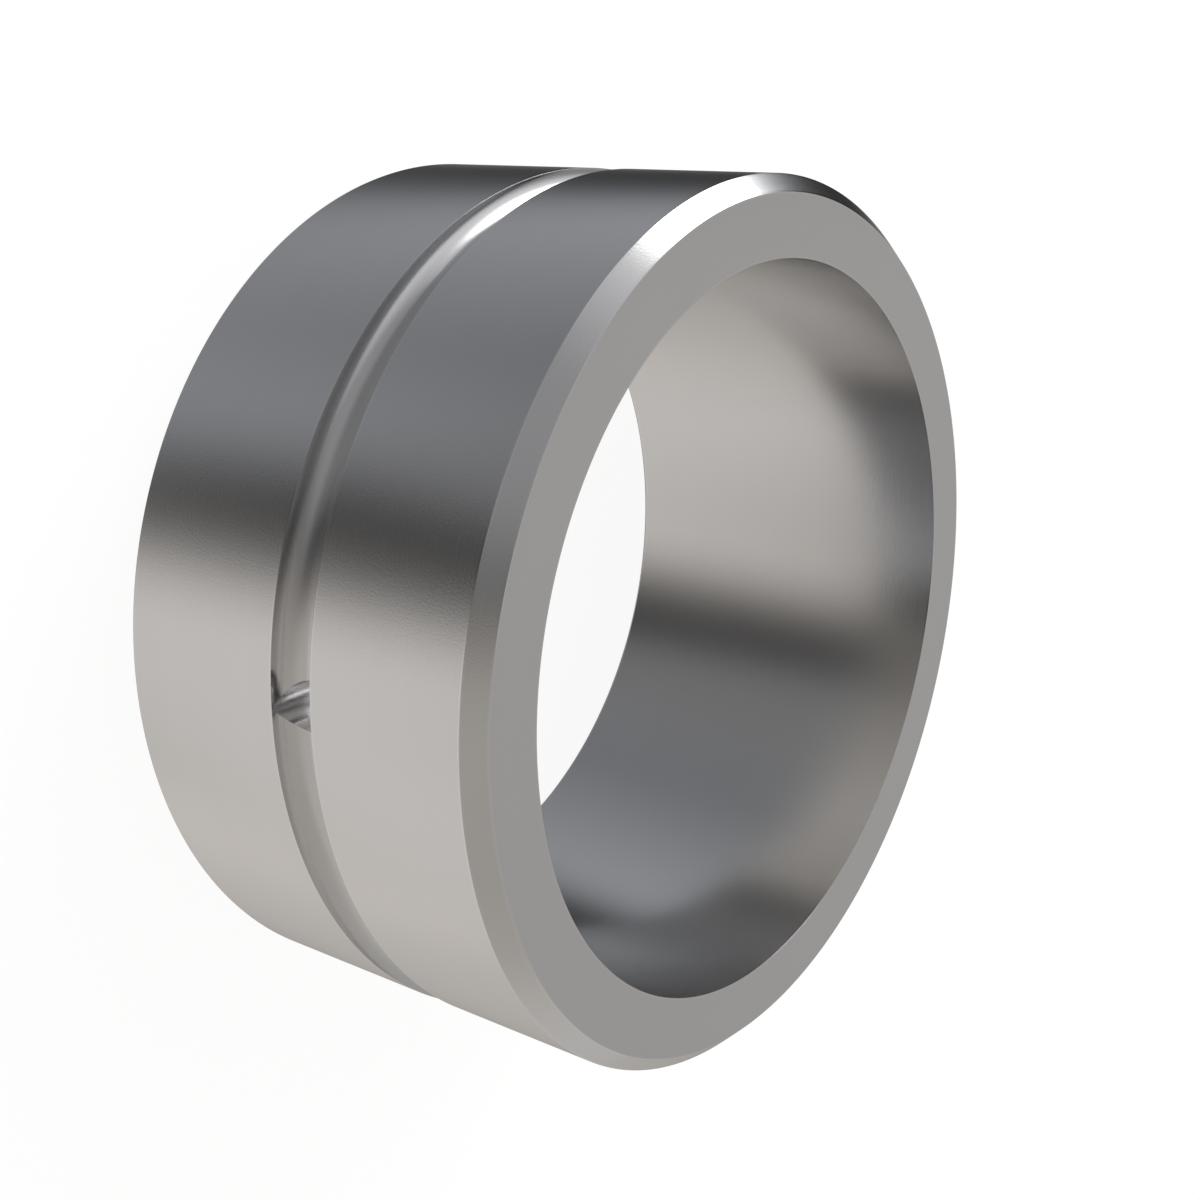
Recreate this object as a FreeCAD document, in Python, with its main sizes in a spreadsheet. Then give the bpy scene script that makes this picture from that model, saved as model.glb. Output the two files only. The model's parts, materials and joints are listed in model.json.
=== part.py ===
import FreeCAD, Part
import math
import os

import Sketcher

# Grooved bushing: a turned steel ring that is pressed into a housing and carries a pin.
# Grease from the housing runs round the groove on its outside and reaches the pin
# through the one oil hole drilled in the bottom of the groove.
# The ring stands on its plain end. Z is its axis, and the chamfered end that enters
# the housing first points up. The oil hole faces -Y. The origin is the plain end's centre.

NODE = "bushing"
FULL_TURN = 360
NEAR = 1e-6

# A sketch's numbers for the points of a line or arc, and for its own axes.
START, END, CENTRE = 1, 2, 3
X_AXIS, Y_AXIS = -1, -2
ORIGIN = (X_AXIS, START)

# The driving dimensions, in millimetres.
DIMENSIONS = [
    ("bore_diameter", 62.0, "running bore for the pin"),
    ("wall_thickness", 6.5, "from the bore to the seat in the housing"),
    ("overall_length", 35.0, "from the plain end to the chamfered end"),
    ("lead_chamfer", 1.4, "45 degree lead-in on the outside of the upper end"),
    ("bore_chamfer", 0.4, "45 degree lead-in of the bore at the plain end"),
    ("groove_radius", 2.0, "nose radius of the form tool that cuts the groove"),
    ("groove_depth", 2.0, "from the outside to the bottom of the groove"),
    ("groove_height", 17.5, "from the plain end to the middle of the groove"),
    ("oil_hole_diameter", 4.0, "drilled from the groove into the bore"),
]

INNER_RADIUS = "Sizes.bore_diameter / 2"
OUTER_RADIUS = f"{INNER_RADIUS} + Sizes.wall_thickness"

doc = FreeCAD.newDocument("grooved_bushing")


def make_sheet():
    """Writes each driving dimension with its name and purpose, and gives its cell the name."""
    sheet = doc.addObject("Spreadsheet::Sheet", "Sizes")
    for row, (alias, value, purpose) in enumerate(DIMENSIONS, start=1):
        sheet.set(f"A{row}", alias)
        sheet.set(f"B{row}", str(value))
        sheet.set(f"C{row}", purpose)
        sheet.setAlias(f"B{row}", alias)
    doc.recompute()
    return sheet


def axial_sketch(body, name):
    """A sketch on the body's XZ plane: its X is a radius, its Y is a height along the axis."""
    plane = next(f for f in body.Origin.OriginFeatures if f.Role == "XZ_Plane")
    sketch = body.newObject("Sketcher::SketchObject", name)
    sketch.AttachmentSupport = [(plane, "")]
    sketch.MapMode = "FlatFace"
    return sketch


def worked_out(item, formula):
    """The value that a formula on the sheet has now."""
    return float(item.evalExpression(formula))


def bind(sketch, kind, refs, name, formula):
    """Adds a dimension to a sketch and ties it to the sheet."""
    size = worked_out(sketch, formula)
    index = sketch.addConstraint(Sketcher.Constraint(kind, *refs, size))
    sketch.renameConstraint(index, name)
    sketch.setExpression(f"Constraints.{name}", formula)


def point(radius, height):
    return FreeCAD.Vector(radius, height, 0)


def turn_blank(body, sheet):
    """The plain ring: a rectangular section turned about the axis."""
    inner = worked_out(sheet, INNER_RADIUS)
    outer = worked_out(sheet, OUTER_RADIUS)
    top = sheet.overall_length
    corners = [point(inner, 0), point(outer, 0), point(outer, top), point(inner, top)]

    sketch = axial_sketch(body, "blank_section")
    for start, end in zip(corners, corners[1:] + corners[:1]):
        sketch.addGeometry(Part.LineSegment(start, end))
    lower, outside, upper, inside = range(4)
    for line, following in ((lower, outside), (outside, upper), (upper, inside), (inside, lower)):
        sketch.addConstraint(Sketcher.Constraint("Coincident", line, END, following, START))
    for line in (lower, upper):
        sketch.addConstraint(Sketcher.Constraint("Horizontal", line))
    for line in (outside, inside):
        sketch.addConstraint(Sketcher.Constraint("Vertical", line))
    sketch.addConstraint(Sketcher.Constraint("PointOnObject", lower, START, X_AXIS))
    bind(sketch, "DistanceX", (*ORIGIN, lower, START), "bore_radius", INNER_RADIUS)
    bind(sketch, "DistanceX", (*ORIGIN, lower, END), "outer_radius", OUTER_RADIUS)
    bind(sketch, "DistanceY", (outside, START, outside, END), "length", "Sizes.overall_length")

    blank = body.newObject("PartDesign::Revolution", "blank")
    blank.Profile = sketch
    blank.ReferenceAxis = (sketch, ["V_Axis"])
    blank.Angle = FULL_TURN
    doc.recompute()
    return blank


def rim_edge(shape, radius, height):
    """The name of the circular edge of that radius and height, whose centre is on the axis."""
    centre = FreeCAD.Vector(0, 0, height)
    for number, edge in enumerate(shape.Edges, start=1):
        rim = edge.Curve
        if isinstance(rim, Part.Circle) and rim.Center.isEqual(centre, NEAR) \
                and math.isclose(rim.Radius, radius, abs_tol=NEAR):
            return f"Edge{number}"
    raise ValueError(f"no rim of radius {radius} at height {height}")


def break_rim(body, base, name, radius, height):
    """A 45 degree chamfer on one rim, of the size that the sheet has under the same name."""
    chamfer = body.newObject("PartDesign::Chamfer", name)
    chamfer.Base = (base, [rim_edge(base.Shape, radius, height)])
    chamfer.setExpression("Size", f"Sizes.{name}")
    doc.recompute()
    return chamfer


def turn_grease_groove(body, sheet):
    """The round-bottomed groove: a half circle whose two walls run on past the outside."""
    outer = worked_out(sheet, OUTER_RADIUS)
    nose = sheet.groove_radius
    middle = sheet.groove_height
    centre = outer - sheet.groove_depth + nose
    outside = outer + nose

    sketch = axial_sketch(body, "grease_groove_section")
    half_circle = Part.Circle(point(centre, middle), FreeCAD.Vector(0, 0, 1), nose)
    sketch.addGeometry(Part.ArcOfCircle(half_circle, math.pi / 2, 3 * math.pi / 2))
    sketch.addGeometry(Part.LineSegment(point(centre, middle - nose), point(outside, middle - nose)))
    sketch.addGeometry(Part.LineSegment(point(outside, middle - nose), point(outside, middle + nose)))
    sketch.addGeometry(Part.LineSegment(point(outside, middle + nose), point(centre, middle + nose)))
    arc, lower_wall, mouth, upper_wall = range(4)
    sketch.addConstraint(Sketcher.Constraint("Tangent", arc, END, lower_wall, START))
    sketch.addConstraint(Sketcher.Constraint("Coincident", lower_wall, END, mouth, START))
    sketch.addConstraint(Sketcher.Constraint("Coincident", mouth, END, upper_wall, START))
    sketch.addConstraint(Sketcher.Constraint("Tangent", upper_wall, END, arc, START))
    sketch.addConstraint(Sketcher.Constraint("Horizontal", lower_wall))
    sketch.addConstraint(Sketcher.Constraint("Horizontal", upper_wall))
    sketch.addConstraint(Sketcher.Constraint("Vertical", mouth))
    bind(sketch, "Radius", (arc,), "nose_radius", "Sizes.groove_radius")
    bind(sketch, "DistanceY", (*ORIGIN, arc, CENTRE), "middle_height", "Sizes.groove_height")
    bind(sketch, "DistanceX", (*ORIGIN, arc, CENTRE), "nose_centre",
         f"{OUTER_RADIUS} - Sizes.groove_depth + Sizes.groove_radius")
    bind(sketch, "DistanceX", (*ORIGIN, mouth, START), "mouth_radius",
         f"{OUTER_RADIUS} + Sizes.groove_radius")

    groove = body.newObject("PartDesign::Groove", "grease_groove")
    groove.Profile = sketch
    groove.ReferenceAxis = (sketch, ["V_Axis"])
    groove.Angle = FULL_TURN
    doc.recompute()
    return groove


def drill_oil_hole(body, sheet):
    """The oil hole: drilled square to the axis from the outside, through one wall only."""
    sketch = axial_sketch(body, "oil_hole_place")
    sketch.setExpression("AttachmentOffset.Base.z", OUTER_RADIUS)
    rim = sketch.addGeometry(Part.Circle(point(0, sheet.groove_height), FreeCAD.Vector(0, 0, 1),
                                         sheet.oil_hole_diameter / 2))
    sketch.addConstraint(Sketcher.Constraint("PointOnObject", rim, CENTRE, Y_AXIS))
    bind(sketch, "Diameter", (rim,), "diameter", "Sizes.oil_hole_diameter")
    bind(sketch, "DistanceY", (*ORIGIN, rim, CENTRE), "height", "Sizes.groove_height")
    doc.recompute()

    hole = body.newObject("PartDesign::Hole", "oil_hole")
    hole.Profile = sketch
    doc.recompute()
    hole.ThreadType = "None"
    hole.DepthType = "Dimension"
    hole.DrillPoint = "Flat"
    hole.setExpression("Diameter", "Sizes.oil_hole_diameter")
    hole.setExpression("Depth", OUTER_RADIUS)
    doc.recompute()
    return hole


def make_bushing(sheet):
    """Turns the ring, chamfers its two rims, cuts the groove and drills the hole."""
    body = doc.addObject("PartDesign::Body", NODE)
    body.Label = NODE
    blank = turn_blank(body, sheet)
    led_in = break_rim(body, blank, "lead_chamfer",
                       worked_out(sheet, OUTER_RADIUS), sheet.overall_length)
    eased = break_rim(body, led_in, "bore_chamfer", worked_out(sheet, INNER_RADIUS), 0)
    grooved = turn_grease_groove(body, sheet)
    drilled = drill_oil_hole(body, sheet)
    body.Tip = drilled
    doc.recompute()

    steps = [blank, led_in, eased, grooved, drilled]
    for before, after in zip(steps, steps[1:]):
        if after.Shape.Volume >= before.Shape.Volume:
            raise ValueError(f"{after.Name} removed no metal")
    return body


def check_document():
    """Every object has recomputed without an error, and no sketch is left loose."""
    for item in doc.Objects:
        if {"Invalid", "Error"} & set(item.State):
            raise ValueError(f"{item.Name} failed: {item.State}")
        if item.TypeId == "Sketcher::SketchObject" and not item.FullyConstrained:
            raise ValueError(f"{item.Name} is not fully constrained")


def export(body):
    shape = body.Shape
    if shape.isNull() or not shape.isValid() or len(shape.Solids) != 1:
        raise ValueError(f"{body.Label} is not one sound solid")
    os.makedirs("parts", exist_ok=True)
    shape.exportStep(f"parts/{body.Label}.step")
    print(f"{body.Label}: volume {shape.Volume:.1f} mm3, box {shape.BoundBox}")


bushing = make_bushing(make_sheet())
check_document()
export(bushing)
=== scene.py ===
"""Grooved bushing: a turned steel ring with a grease groove round its outside and an oil hole through
the bottom of the groove. It stands on its plain end, so its axis is Z and its chamfered end is on top."""

import json
import math

import bpy
from mathutils import Matrix, Vector


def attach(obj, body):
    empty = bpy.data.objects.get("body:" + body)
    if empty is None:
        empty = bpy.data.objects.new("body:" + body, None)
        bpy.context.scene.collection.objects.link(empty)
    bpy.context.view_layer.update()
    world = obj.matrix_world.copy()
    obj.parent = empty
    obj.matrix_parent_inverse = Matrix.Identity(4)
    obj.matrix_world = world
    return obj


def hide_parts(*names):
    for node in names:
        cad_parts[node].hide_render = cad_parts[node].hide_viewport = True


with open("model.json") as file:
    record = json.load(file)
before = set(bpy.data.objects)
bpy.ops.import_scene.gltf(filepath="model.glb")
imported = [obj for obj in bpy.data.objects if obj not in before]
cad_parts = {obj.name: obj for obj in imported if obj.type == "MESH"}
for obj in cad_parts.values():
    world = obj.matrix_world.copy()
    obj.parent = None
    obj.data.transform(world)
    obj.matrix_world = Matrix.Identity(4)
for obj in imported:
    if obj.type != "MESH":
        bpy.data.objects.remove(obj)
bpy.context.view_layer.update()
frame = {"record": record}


# The ring.
# One piece of bearing steel, turned from bar and pressed into its housing. Its section is turned round the
# axis, then one hole is drilled through the wall at the front, from outside the groove to inside the bore.
# The finish is satin: close rings from fine turning, over a fine even grain.

# The section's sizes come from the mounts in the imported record.
fits = {mount["name"]: mount for mount in frame["record"]["mounts"]}
ring_height = fits["chamfered_end"]["pos_m"][2]
bore_radius = fits["pin_bore"]["dims"]["r_mm"] / 1000
bore_chamfer = ring_height - fits["pin_bore"]["dims"]["length_mm"] / 1000
seat_radius = fits["housing_seat"]["dims"]["r_mm"] / 1000
lead_chamfer = ring_height - fits["housing_seat"]["dims"]["length_mm"] / 1000
hole_radius = fits["oil_hole"]["dims"]["r_mm"] / 1000
hole_height = fits["oil_hole"]["pos_m"][2]
groove_radius = hole_radius  # the groove is as wide as the drill that goes through its bottom

# Every rim has the small round that deburring leaves. The plain end's outer rim is eased a little more.
deburred = 0.00008
crisp = 0.00002
arc_steps = 4
guard = 0.00004  # flat metal kept next to each round, so that the faces beside it stay flat
groove_steps = 44

groove = []
for step in range(groove_steps + 1):
    angle = math.pi * step / groove_steps
    radius = seat_radius - groove_radius * math.sin(angle)
    height = hole_height - groove_radius * math.cos(angle)
    rounding = crisp if step in (0, groove_steps) else 0
    groove.append((radius, height, rounding))

# radius, height, size of the round on that corner
section = [
    (bore_radius, bore_chamfer, crisp),
    (bore_radius + bore_chamfer, 0, crisp),
    (seat_radius, 0, deburred),
    *groove,
    (seat_radius, ring_height - lead_chamfer, crisp),
    (seat_radius - lead_chamfer, ring_height, crisp),
    (bore_radius, ring_height, crisp),
]


def outline_of(corners):
    """The outline with each corner rounded, and a guard point on the flat metal either side of it."""
    outline = []
    for i, (radius, height, rounding) in enumerate(corners):
        corner = Vector((radius, height))
        if not rounding:
            outline.append(corner)
            continue
        before = Vector(corners[i - 1][:2]) - corner
        after = Vector(corners[(i + 1) % len(corners)][:2]) - corner
        half = before.angle(after) / 2
        reach = rounding / math.tan(half)
        inwards = (before.normalized() + after.normalized()).normalized()
        centre = corner + inwards * (rounding / math.sin(half))
        start = (corner + before.normalized() * reach - centre).normalized()
        end = (corner + after.normalized() * reach - centre).normalized()
        if before.length > reach + 2 * guard:
            outline.append(corner + before.normalized() * (reach + guard))
        for step in range(arc_steps + 1):
            outline.append(centre + rounding * start.slerp(end, step / arc_steps))
        if after.length > reach + 2 * guard:
            outline.append(corner + after.normalized() * (reach + guard))
    return outline


turning_radius = seat_radius
profile = bpy.data.curves.new("ring section", "CURVE")
profile.dimensions = "2D"
line = profile.splines.new("POLY")
# the tree turns a section's X outwards and its Y downwards, so the outline is listed backwards to face out
outline = outline_of(section)[::-1]
line.points.add(len(outline) - 1)
for knot, (radius, height) in zip(line.points, outline):
    knot.co = (radius - turning_radius, -height, 0, 1)
line.use_cyclic_u = True


def add(tree, kind, settings=None, **wires):
    """Adds a node to a tree. settings are its own options; wires give its inputs, by name or by number."""
    made = tree.nodes.new(kind)
    for name, value in (settings or {}).items():
        setattr(made, name, value)
    for name, value in wires.items():
        where = made.inputs[int(name[1:])] if name[1:].isdigit() else made.inputs[name.replace("_", " ")]
        if isinstance(value, bpy.types.NodeSocket):
            tree.links.new(value, where)
        else:
            where.default_value = value
    return made


machining = bpy.data.node_groups.new("turn and drill a ring", "GeometryNodeTree")
sizes = {
    "Turning radius": ("NodeSocketFloat", turning_radius),
    "Steps round": ("NodeSocketInt", 384),
    "Hole radius": ("NodeSocketFloat", hole_radius),
    "Hole height": ("NodeSocketFloat", hole_height),
    "Hole sides": ("NodeSocketInt", 96),
    "Drill from": ("NodeSocketFloat", -1.06 * seat_radius),
    "Drill to": ("NodeSocketFloat", -0.7 * bore_radius),
    "Weld within": ("NodeSocketFloat", 2e-7),
    "Sharp above": ("NodeSocketFloat", math.radians(35)),
    "Turned steel": ("NodeSocketMaterial", None),
    "Drilled steel": ("NodeSocketMaterial", None),
}
machining.interface.new_socket("Section", in_out="INPUT", socket_type="NodeSocketGeometry")
sockets = {
    name: machining.interface.new_socket(name, in_out="INPUT", socket_type=kind)
    for name, (kind, _) in sizes.items()
}
machining.interface.new_socket("Ring", in_out="OUTPUT", socket_type="NodeSocketGeometry")
given = add(machining, "NodeGroupInput").outputs

path = add(machining, "GeometryNodeCurvePrimitiveCircle", Resolution=given["Steps round"],
           Radius=given["Turning radius"])
blank = add(machining, "GeometryNodeCurveToMesh", Curve=path.outputs["Curve"],
            Profile_Curve=given["Section"])
reach = add(machining, "ShaderNodeMath", {"operation": "SUBTRACT"}, _0=given["Drill to"],
            _1=given["Drill from"])
middle = add(machining, "ShaderNodeMath", {"operation": "ADD"}, _0=given["Drill to"],
             _1=given["Drill from"])
halfway = add(machining, "ShaderNodeMath", {"operation": "MULTIPLY"}, _0=middle.outputs[0], _1=0.5)
place = add(machining, "ShaderNodeCombineXYZ", Y=halfway.outputs[0], Z=given["Hole height"])
drill = add(machining, "GeometryNodeMeshCylinder", Vertices=given["Hole sides"],
            Radius=given["Hole radius"], Depth=reach.outputs[0])
drill_set = add(machining, "GeometryNodeTransform", Geometry=drill.outputs["Mesh"],
                Translation=place.outputs[0], Rotation=(math.pi / 2, 0, 0))
drilled = add(machining, "GeometryNodeMeshBoolean", {"operation": "DIFFERENCE", "solver": "EXACT"},
              _0=blank.outputs["Mesh"], _1=drill_set.outputs["Geometry"])
welded = add(machining, "GeometryNodeMergeByDistance", Geometry=drilled.outputs["Mesh"],
             Distance=given["Weld within"])

# the metal is smooth except at its corners and where the drill came through
smooth = add(machining, "GeometryNodeSetShadeSmooth", {"domain": "FACE"}, Geometry=welded.outputs[0])
bend = add(machining, "GeometryNodeInputMeshEdgeAngle")
corner_edge = add(machining, "FunctionNodeCompare", {"data_type": "FLOAT", "operation": "GREATER_THAN"},
                  _0=bend.outputs["Unsigned Angle"], _1=given["Sharp above"])
sharp_edge = add(machining, "FunctionNodeBooleanMath", {"operation": "OR"}, _0=corner_edge.outputs[0],
                 _1=drilled.outputs["Intersecting Edges"])
creased = add(machining, "GeometryNodeSetShadeSmooth", {"domain": "EDGE"}, Geometry=smooth.outputs[0],
              Selection=sharp_edge.outputs[0], Shade_Smooth=False)
whole = add(machining, "GeometryNodeRealizeInstances", Geometry=creased.outputs[0])

# the hole's wall is whatever lies within the drill's radius of its centre line, on the drill's side
point = add(machining, "GeometryNodeInputPosition")
where = add(machining, "ShaderNodeSeparateXYZ", Vector=point.outputs[0])
above = add(machining, "ShaderNodeMath", {"operation": "SUBTRACT"}, _0=where.outputs["Z"],
            _1=given["Hole height"])
across = add(machining, "ShaderNodeCombineXYZ", X=where.outputs["X"], Y=above.outputs[0])
off_line = add(machining, "ShaderNodeVectorMath", {"operation": "LENGTH"}, _0=across.outputs[0])
near_line = add(machining, "ShaderNodeMath", {"operation": "LESS_THAN"}, _0=off_line.outputs["Value"],
                _1=given["Hole radius"])
in_front = add(machining, "ShaderNodeMath", {"operation": "LESS_THAN"}, _0=where.outputs["Y"], _1=0.0)
on_wall = add(machining, "ShaderNodeMath", {"operation": "MULTIPLY"}, _0=near_line.outputs[0],
              _1=in_front.outputs[0])
steel_on = add(machining, "GeometryNodeSetMaterial", Geometry=whole.outputs[0],
               Material=given["Turned steel"])
wall_on = add(machining, "GeometryNodeSetMaterial", Geometry=steel_on.outputs[0],
              Selection=on_wall.outputs[0], Material=given["Drilled steel"])
add(machining, "NodeGroupOutput", Ring=wall_on.outputs[0])


def new_group(name, inputs, outputs):
    """A shader node group with named values coming in and going out."""
    group = bpy.data.node_groups.new(name, "ShaderNodeTree")
    for socket, kind in inputs.items():
        group.interface.new_socket(socket, in_out="INPUT", socket_type=kind)
    for socket, kind in outputs.items():
        group.interface.new_socket(socket, in_out="OUTPUT", socket_type=kind)
    return group, add(group, "NodeGroupInput").outputs


def place_group(tree, group, **values):
    """Places a node group in a material and gives it that material's own values."""
    node = add(tree, "ShaderNodeGroup", {"node_tree": group})
    for name, value in values.items():
        socket = node.inputs[name.replace("_", " ")]
        if isinstance(value, bpy.types.NodeSocket):
            tree.links.new(value, socket)
        else:
            socket.default_value = value
    return node.outputs


# Tool marks: Along cut is how far the tool has been fed, in metres. Line is the marks, Band their slow
# change, about one in seventeen turns.
FLOAT = "NodeSocketFloat"
tool_marks, marks_in = new_group(
    "tool marks", {"Along cut": FLOAT, "Pitch": FLOAT}, {"Line": FLOAT, "Band": FLOAT}
)
bands_per_turn = 0.06
turns = add(tool_marks, "ShaderNodeMath", {"operation": "DIVIDE"}, _0=marks_in["Along cut"],
            _1=marks_in["Pitch"])
fine = add(tool_marks, "ShaderNodeTexNoise", {"noise_dimensions": "1D"}, W=turns.outputs[0], Scale=1.0,
           Detail=2.0, Roughness=0.6)
slow = add(tool_marks, "ShaderNodeTexNoise", {"noise_dimensions": "1D"}, W=turns.outputs[0],
           Scale=bands_per_turn, Detail=1.0, Roughness=0.5)
add(tool_marks, "NodeGroupOutput", Line=fine.outputs[0], Band=slow.outputs[0])

# Satin grain: Grain is the fine specks, Cloud the slow change of shade from place to place.
clouds_per_metre = 70.0
satin_grain, grain_in = new_group(
    "satin grain",
    {"Place": "NodeSocketVector", "Grains per metre": FLOAT},
    {"Grain": FLOAT, "Cloud": FLOAT},
)
speck = add(satin_grain, "ShaderNodeTexNoise", Vector=grain_in["Place"], Scale=grain_in["Grains per metre"],
            Detail=1.0, Roughness=0.5)
cloud = add(satin_grain, "ShaderNodeTexNoise", Vector=grain_in["Place"], Scale=clouds_per_metre,
            Detail=2.0, Roughness=0.55)
add(satin_grain, "NodeGroupOutput", Grain=speck.outputs[0], Cloud=cloud.outputs[0])


def spread(tree, value, low, high):
    """A value from 0 to 1 turned into one from low to high."""
    return add(tree, "ShaderNodeMapRange", {"clamp": True}, Value=value, To_Min=low, To_Max=high).outputs[0]


def swing(tree, value, size, middle=0.0):
    """A value from 0 to 1 turned into one that swings by size to either side of the middle."""
    return spread(tree, value, middle - size, middle + size)


def total(tree, *values):
    """The values added up."""
    result = values[0]
    for value in values[1:]:
        result = add(tree, "ShaderNodeMath", {"operation": "ADD"}, _0=result, _1=value).outputs[0]
    return result


# A steel's shade is 0 at its duller colour and 1 at its brighter one. Each mark swings the shade and the
# roughness by this much, and a worn rim adds its own.
line_shade = 0.06
band_shade = 0.08
cloud_shade = 0.12
worn_shade = 0.3
line_roughness = 0.03
grain_roughness = 0.03
cloud_roughness = 0.015
worn_roughness = -0.06

dull_steel = (0.61, 0.605, 0.60, 1)
bright_steel = (0.69, 0.685, 0.68, 1)
# the lightest shade below lightens only the oil hole's wall: a painted highlight that brightens the light
# mirrored inside the hole
hole_glint_steel = (0.80, 0.795, 0.79, 1)
grains_per_metre = 6500.0


def steel(name, along, shades, pitch, roughness, line_height, grain_height, worn=None):
    """Satin steel between two shades. along gives how far the tool has been fed at a place on the ring."""
    material = bpy.data.materials.new(name)
    material.use_nodes = True
    tree = material.node_tree
    tree.nodes.clear()
    place = add(tree, "ShaderNodeTexCoord").outputs["Object"]
    marks = place_group(tree, tool_marks, Along_cut=along(tree, place), Pitch=pitch)
    grain = place_group(tree, satin_grain, Place=place, Grains_per_metre=grains_per_metre)
    shade = total(
        tree,
        swing(tree, marks["Line"], line_shade),
        swing(tree, marks["Band"], band_shade),
        swing(tree, grain["Cloud"], cloud_shade, middle=0.5),
    )
    rough = total(
        tree,
        swing(tree, marks["Line"], line_roughness),
        swing(tree, grain["Grain"], grain_roughness),
        swing(tree, grain["Cloud"], cloud_roughness, middle=roughness),
    )
    if worn:
        shade = total(tree, shade, spread(tree, worn(tree, place), 0.0, worn_shade))
        rough = total(tree, rough, spread(tree, worn(tree, place), 0.0, worn_roughness))
    colour = add(tree, "ShaderNodeMix", {"data_type": "RGBA"}, _0=shade, _6=shades[0], _7=shades[1])
    height = total(tree, spread(tree, marks["Line"], 0.0, line_height),
                   spread(tree, grain["Grain"], 0.0, grain_height))
    bump = add(tree, "ShaderNodeBump", Strength=1.0, Distance=1.0, Height=height)
    surface = add(tree, "ShaderNodeBsdfPrincipled", Base_Color=colour.outputs[2], Metallic=1.0,
                  Roughness=rough, Normal=bump.outputs[0])
    add(tree, "ShaderNodeOutputMaterial", Surface=surface.outputs[0])
    return material


def radius_and_height(tree, place):
    """The place on the ring's section: radius and height as a vector, and each by itself."""
    parts = add(tree, "ShaderNodeSeparateXYZ", Vector=place)
    flat = add(tree, "ShaderNodeCombineXYZ", X=parts.outputs["X"], Y=parts.outputs["Y"])
    radius = add(tree, "ShaderNodeVectorMath", {"operation": "LENGTH"}, _0=flat.outputs[0]).outputs["Value"]
    pair = add(tree, "ShaderNodeCombineXYZ", X=radius, Y=parts.outputs["Z"])
    return pair.outputs[0], radius, parts.outputs["Z"]


def along_section(tree, place):
    """Height less radius: it grows along the bore, the seat, both ends and both chamfers alike."""
    _, radius, height = radius_and_height(tree, place)
    return add(tree, "ShaderNodeMath", {"operation": "SUBTRACT"}, _0=height, _1=radius).outputs[0]


drill_lean = 0.06


def down_hole(tree, place):
    """How deep a point lies in the oil hole, leaning a little sideways, as a drill's rings do."""
    parts = add(tree, "ShaderNodeSeparateXYZ", Vector=place)
    lean = add(tree, "ShaderNodeMath", {"operation": "MULTIPLY"}, _0=parts.outputs["X"], _1=drill_lean)
    return add(tree, "ShaderNodeMath", {"operation": "ADD"}, _0=parts.outputs["Y"],
               _1=lean.outputs[0]).outputs[0]


worn_out_to = 0.00025
fully_worn_to = 0.00004


def on_rims(tree, place):
    """1 on the ring's rims, where handling polishes them, falling to 0 a quarter of a millimetre away."""
    pair, _, _ = radius_and_height(tree, place)
    nearest = None
    for radius, height, rounding in section:
        if not rounding:
            continue
        away = add(tree, "ShaderNodeVectorMath", {"operation": "DISTANCE"}, _0=pair, _1=(radius, height, 0))
        away = away.outputs["Value"]
        if nearest is not None:
            away = add(tree, "ShaderNodeMath", {"operation": "MINIMUM"}, _0=nearest, _1=away).outputs[0]
        nearest = away
    return add(tree, "ShaderNodeMapRange", {"interpolation_type": "SMOOTHSTEP"}, Value=nearest,
               From_Min=worn_out_to, From_Max=fully_worn_to, To_Min=0.0, To_Max=1.0).outputs[0]


turned_steel = steel("turned satin steel", along_section, (dull_steel, bright_steel), pitch=0.00016,
                     roughness=0.20, line_height=1.5e-7, grain_height=4e-6, worn=on_rims)
# the oil hole's wall runs between lighter shades than the turned steel, a painted highlight inside the hole
drilled_glint_steel = steel("drilled steel", down_hole, (bright_steel, hole_glint_steel), pitch=0.00022,
                      roughness=0.20, line_height=6e-7, grain_height=4e-6)

ring_curve = bpy.data.objects.new("ring curve", profile)
bpy.context.scene.collection.objects.link(ring_curve)
shop = ring_curve.modifiers.new("turn and drill", "NODES")
shop.node_group = machining
sizes["Turned steel"] = (None, turned_steel)
sizes["Drilled steel"] = (None, drilled_glint_steel)
for name, (_, value) in sizes.items():
    shop[sockets[name].identifier] = value
bpy.context.view_layer.update()
ready = ring_curve.evaluated_get(bpy.context.evaluated_depsgraph_get())
ring_mesh = bpy.data.meshes.new_from_object(ready)
ring_mesh.materials.pop(index=0)  # the section's own slot, which is empty
ring_curve.modifiers.remove(shop)
bpy.data.objects.remove(ring_curve)
ring = bpy.data.objects.new("turned_ring", ring_mesh)
bpy.context.scene.collection.objects.link(ring)
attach(ring, "root")
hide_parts("bushing")


# The bench.
# A plain white floor that carries a soft shadow. The pictured ring doesn't mirror what it lies on, so
# mirrored rays pass through the floor to the studio round it.

floor_size = 6.0
floor_paint = (0.25, 0.25, 0.25, 1)
floor_lift = 0.89  # brings the lit paint up to white for the camera alone


def light_path(tree, which):
    """One of the outputs that tell what kind of ray is looking."""
    return add(tree, "ShaderNodeLightPath").outputs[which]


floor_mesh = bpy.data.meshes.new("floor")
floor_mesh.from_pydata(
    [(-floor_size, -floor_size, 0), (floor_size, -floor_size, 0), (floor_size, floor_size, 0),
     (-floor_size, floor_size, 0)],
    [],
    [(0, 1, 2, 3)],
)
floor = bpy.data.objects.new("floor", floor_mesh)
bpy.context.scene.collection.objects.link(floor)
white = bpy.data.materials.new("white floor")
white.use_nodes = True
tree = white.node_tree
tree.nodes.clear()
matt = add(tree, "ShaderNodeBsdfDiffuse", Color=floor_paint)
lift = add(tree, "ShaderNodeMath", {"operation": "MULTIPLY"}, _0=light_path(tree, "Is Camera Ray"),
           _1=floor_lift)
glow = add(tree, "ShaderNodeEmission", Color=(1, 1, 1, 1), Strength=lift.outputs[0])
seen = add(tree, "ShaderNodeAddShader", _0=matt.outputs[0], _1=glow.outputs[0])
clear = add(tree, "ShaderNodeBsdfTransparent")
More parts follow.
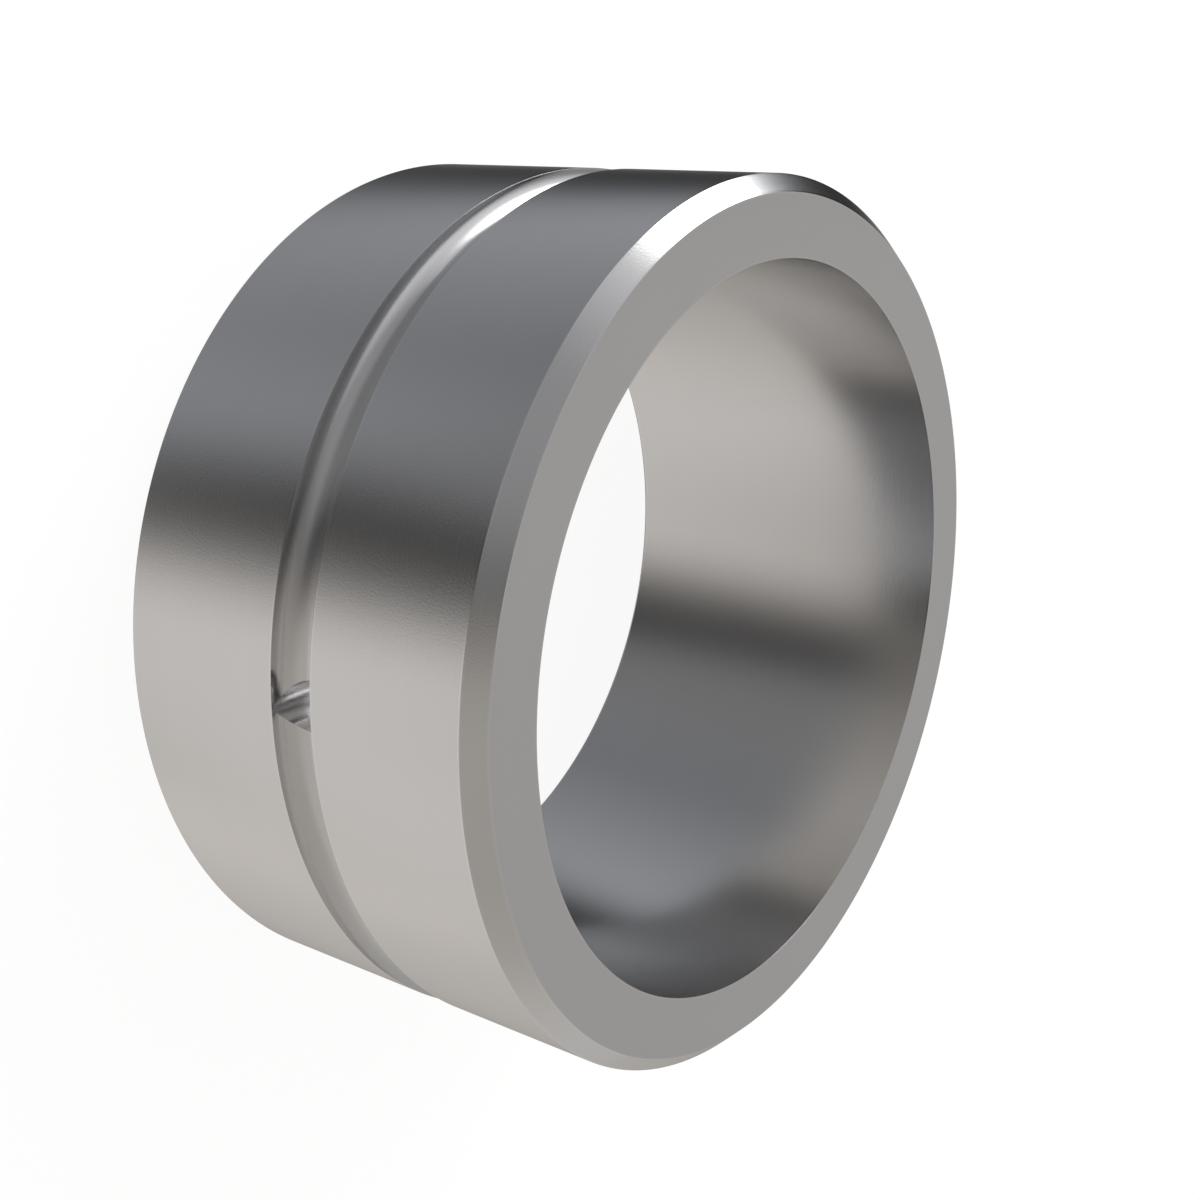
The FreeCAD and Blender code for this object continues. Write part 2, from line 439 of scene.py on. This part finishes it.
passed = add(tree, "ShaderNodeMixShader", _0=light_path(tree, "Is Glossy Ray"), _1=seen.outputs[0],
             _2=clear.outputs[0])
add(tree, "ShaderNodeOutputMaterial", Surface=passed.outputs[0])
floor_mesh.materials.append(white)


# The studio round the ring.
# Cards stand all round it, each shaded from a pale floor through a dark edge to a lighter roof. They lie on
# their side, as the ring does in the photograph. The camera sees plain white.
# The cards' stops and studio_up aren't a design of their own: a program worked out from the photograph's
# pixels what the ring mirrors, and its numbers were rounded and then changed.

studio_up = Vector((-0.994, -0.001, 0.111)).normalized()
studio_front = Vector((0.063, -0.831, 0.553)).normalized()
studio_right = Vector((0.092, 0.556, 0.826)).normalized()

studio = bpy.data.worlds.new("studio")
bpy.context.scene.world = studio
studio.use_nodes = True
tree = studio.node_tree
tree.nodes.clear()
look = add(tree, "ShaderNodeTexCoord").outputs["Generated"]
climb = add(tree, "ShaderNodeVectorMath", {"operation": "DOT_PRODUCT"}, _0=look, _1=studio_up)
rise = climb.outputs["Value"]
upright = add(tree, "ShaderNodeVectorMath", {"operation": "PROJECT"}, _0=look, _1=studio_up).outputs[0]
level = add(tree, "ShaderNodeVectorMath", {"operation": "SUBTRACT"}, _0=look, _1=upright).outputs[0]
bearing = add(tree, "ShaderNodeVectorMath", {"operation": "NORMALIZE"}, _0=level).outputs[0]


def toward(degrees):
    """The level direction so many degrees round from the front, with the right at 90."""
    turn = math.radians(degrees)
    return math.cos(turn) * studio_front + math.sin(turn) * studio_right


def facing(degrees, outside, inside, interpolation="LINEAR"):
    """1 where the bearing is within inside degrees of that direction, falling to 0 at outside degrees."""
    dot = add(tree, "ShaderNodeVectorMath", {"operation": "DOT_PRODUCT"}, _0=bearing, _1=toward(degrees))
    share = add(tree, "ShaderNodeMapRange", {"interpolation_type": interpolation},
                Value=dot.outputs["Value"], From_Min=math.cos(math.radians(outside)),
                From_Max=math.cos(math.radians(inside)))
    return share.outputs[0]


roof_starts = 13  # degrees above the horizon


def card(low_tint, high_tint, *stops):
    """A card's shading from the floor to the roof, in stops of degrees above the horizon and light."""
    height = add(tree, "ShaderNodeMapRange", Value=rise, From_Min=-1.0, From_Max=1.0)
    ramp = add(tree, "ShaderNodeValToRGB", _0=height.outputs[0])
    while len(ramp.color_ramp.elements) < len(stops):
        ramp.color_ramp.elements.new(0.5)
    for element, (degrees, light) in zip(ramp.color_ramp.elements, stops):
        tint = low_tint if degrees < roof_starts else high_tint
        element.position = (math.sin(math.radians(degrees)) + 1) / 2
        element.color = (*(light * part for part in tint), 1)
    return ramp.outputs["Color"]


def blend(here, there, share):
    """One card blended into another."""
    return add(tree, "ShaderNodeMix", {"data_type": "RGBA"}, _0=share, _6=here, _7=there).outputs[2]


sand = (1.04, 0.985, 0.93)
cream = (1.0, 0.965, 0.94)
stone = (1.015, 0.995, 0.975)
cool_grey = (0.98, 0.99, 1.022)
slate = (0.95, 0.985, 1.055)
front = card(
    sand, cool_grey,
    (-90, 0.64), (-67, 0.56), (-57, 0.48), (-42, 0.44), (-10, 0.46), (-2, 0.42), (2, 0.37), (7, 0.28),
    (12, 0.19), (17, 0.19), (22, 0.245), (27, 0.305), (32, 0.34), (45, 0.36), (60, 0.34),
)
front_left = card(
    sand, cool_grey,
    (-90, 0.64), (-57, 0.57), (-45, 0.57), (-20, 0.53), (-10, 0.55), (-2, 0.48), (2, 0.41), (7, 0.24),
    (12, 0.12), (17, 0.08), (22, 0.065), (27, 0.15), (32, 0.20), (37, 0.245), (60, 0.22),
)
left = card(
    cream, cool_grey,
    (-90, 0.66), (-62, 0.70), (-52, 0.77), (-37, 0.80), (-25, 0.80), (-11, 0.82), (-6, 0.72), (-2, 0.55),
    (2, 0.31), (7, 0.14), (12, 0.07), (17, 0.08), (22, 0.17), (27, 0.235), (45, 0.24), (60, 0.22),
)
right = card(
    stone, cool_grey,
    (-90, 0.64), (-67, 0.60), (-50, 0.48), (-30, 0.45), (-2, 0.48), (2, 0.48), (7, 0.34), (12, 0.28),
    (17, 0.35), (22, 0.55), (27, 0.79), (32, 0.88), (40, 0.90), (60, 0.72),
)
far_left = card(
    sand, slate,
    (-90, 0.60), (-67, 0.64), (-57, 0.74), (-45, 0.73), (-37, 0.66), (-25, 0.60), (-12, 0.50), (-7, 0.43),
    (-2, 0.32), (3, 0.21), (8, 0.20), (14, 0.28), (20, 0.33), (27, 0.34), (32, 0.31), (42, 0.25),
    (60, 0.23),
)
back = card(
    sand, slate,
    (-90, 0.55), (-62, 0.52), (-50, 0.46), (-42, 0.39), (-30, 0.32), (-12, 0.29), (-2, 0.32), (2, 0.12),
    (6, 0.04), (12, 0.02), (17, 0.03), (22, 0.07), (27, 0.24), (32, 0.38), (37, 0.44), (50, 0.40),
    (60, 0.33),
)
# the unlit gap between two cards, where the chamfer's highlight ends
dark_gap = card(
    sand, slate,
    (-90, 0.55), (-62, 0.52), (-50, 0.46), (-42, 0.39), (-30, 0.32), (-12, 0.29), (-2, 0.32), (2, 0.12),
    (6, 0.04), (12, 0.01), (22, 0.02), (27, 0.09), (30, 0.20), (34, 0.55), (40, 0.50), (60, 0.33),
)
surround = blend(front, front_left, facing(-60, 70, 26, "SMOOTHSTEP"))
surround = blend(surround, left, facing(-83, 26, 6))
surround = blend(surround, right, facing(108, 66, 8))
behind = blend(far_left, back, facing(165, 83, 0))
surround = blend(surround, behind, facing(-155, 69, 60))
surround = blend(surround, dark_gap, facing(156, 20, 8))

mirrored = add(tree, "ShaderNodeBackground", Color=surround, Strength=1.0)
plain = add(tree, "ShaderNodeBackground", Color=(1, 1, 1, 1), Strength=1.0)
shown = add(tree, "ShaderNodeMixShader", _0=light_path(tree, "Is Camera Ray"), _1=mirrored.outputs[0],
            _2=plain.outputs[0])
add(tree, "ShaderNodeOutputWorld", Surface=shown.outputs[0])


# The softbox.
# One large soft lamp behind and above, whose silk is brightest in its middle. It puts the white highlight
# on the lead chamfer and in the groove.

softbox_aim = Vector((0, 0, ring_height / 2))
softbox_from = Vector((-0.795, 0.538, 0.274)).normalized()
softbox_distance = 0.6
edge_of_silk = 0.5  # from the silk's middle, as a share of its width
bright_middle = 0.15
softbox = bpy.data.lights.new("softbox", "AREA")
softbox.shape = "RECTANGLE"
softbox.size = 0.47
softbox.size_y = 0.39
softbox.energy = 2.72
softbox.use_nodes = True
silk = softbox.node_tree
silk.nodes.clear()
spot = add(silk, "ShaderNodeNewGeometry").outputs["Parametric"]
off_middle = add(silk, "ShaderNodeVectorMath", {"operation": "DISTANCE"}, _0=spot, _1=(0.5, 0.5, 0))
glow = add(silk, "ShaderNodeMapRange", {"interpolation_type": "SMOOTHSTEP"},
           Value=off_middle.outputs["Value"], From_Min=edge_of_silk, From_Max=bright_middle)
lit = add(silk, "ShaderNodeEmission", Strength=glow.outputs[0])
add(silk, "ShaderNodeOutputLight", Surface=lit.outputs[0])
softbox_stand = bpy.data.objects.new("softbox", softbox)
bpy.context.scene.collection.objects.link(softbox_stand)
softbox_stand.location = softbox_aim + softbox_from * softbox_distance
softbox_stand.rotation_euler = (-softbox_from).to_track_quat("-Z", "Y").to_euler()


# The camera.
# It looks down at the ring from the oil hole's side, and is turned on its side, because the ring in the
# photograph has its axis lying across the picture.

camera_aim = Vector((0.000617, 0.001579, 0.020026))
camera_distance = 0.14784
camera_azimuth = math.radians(-109.77)
camera_elevation = math.radians(33.86)
camera_roll = math.radians(101.85)
toward_camera = Vector((
    math.cos(camera_elevation) * math.cos(camera_azimuth),
    math.cos(camera_elevation) * math.sin(camera_azimuth),
    math.sin(camera_elevation),
))
level_right = Vector((0, 0, 1)).cross(toward_camera).normalized()
level_up = toward_camera.cross(level_right)
picture_right = level_right * math.cos(camera_roll) + level_up * math.sin(camera_roll)
picture_up = toward_camera.cross(picture_right)
lens = bpy.data.cameras.new("camera")
lens.lens = 49.3825
lens.sensor_width = 36
lens.shift_x = -0.02945
lens.shift_y = 0.0064
lens.clip_start = 0.01
camera = bpy.data.objects.new("camera", lens)
bpy.context.scene.collection.objects.link(camera)
turned = Matrix((picture_right, picture_up, toward_camera)).transposed().to_4x4()
camera.matrix_world = Matrix.Translation(camera_aim + toward_camera * camera_distance) @ turned
bpy.context.scene.camera = camera
bpy.context.scene.view_settings.view_transform = "Standard"
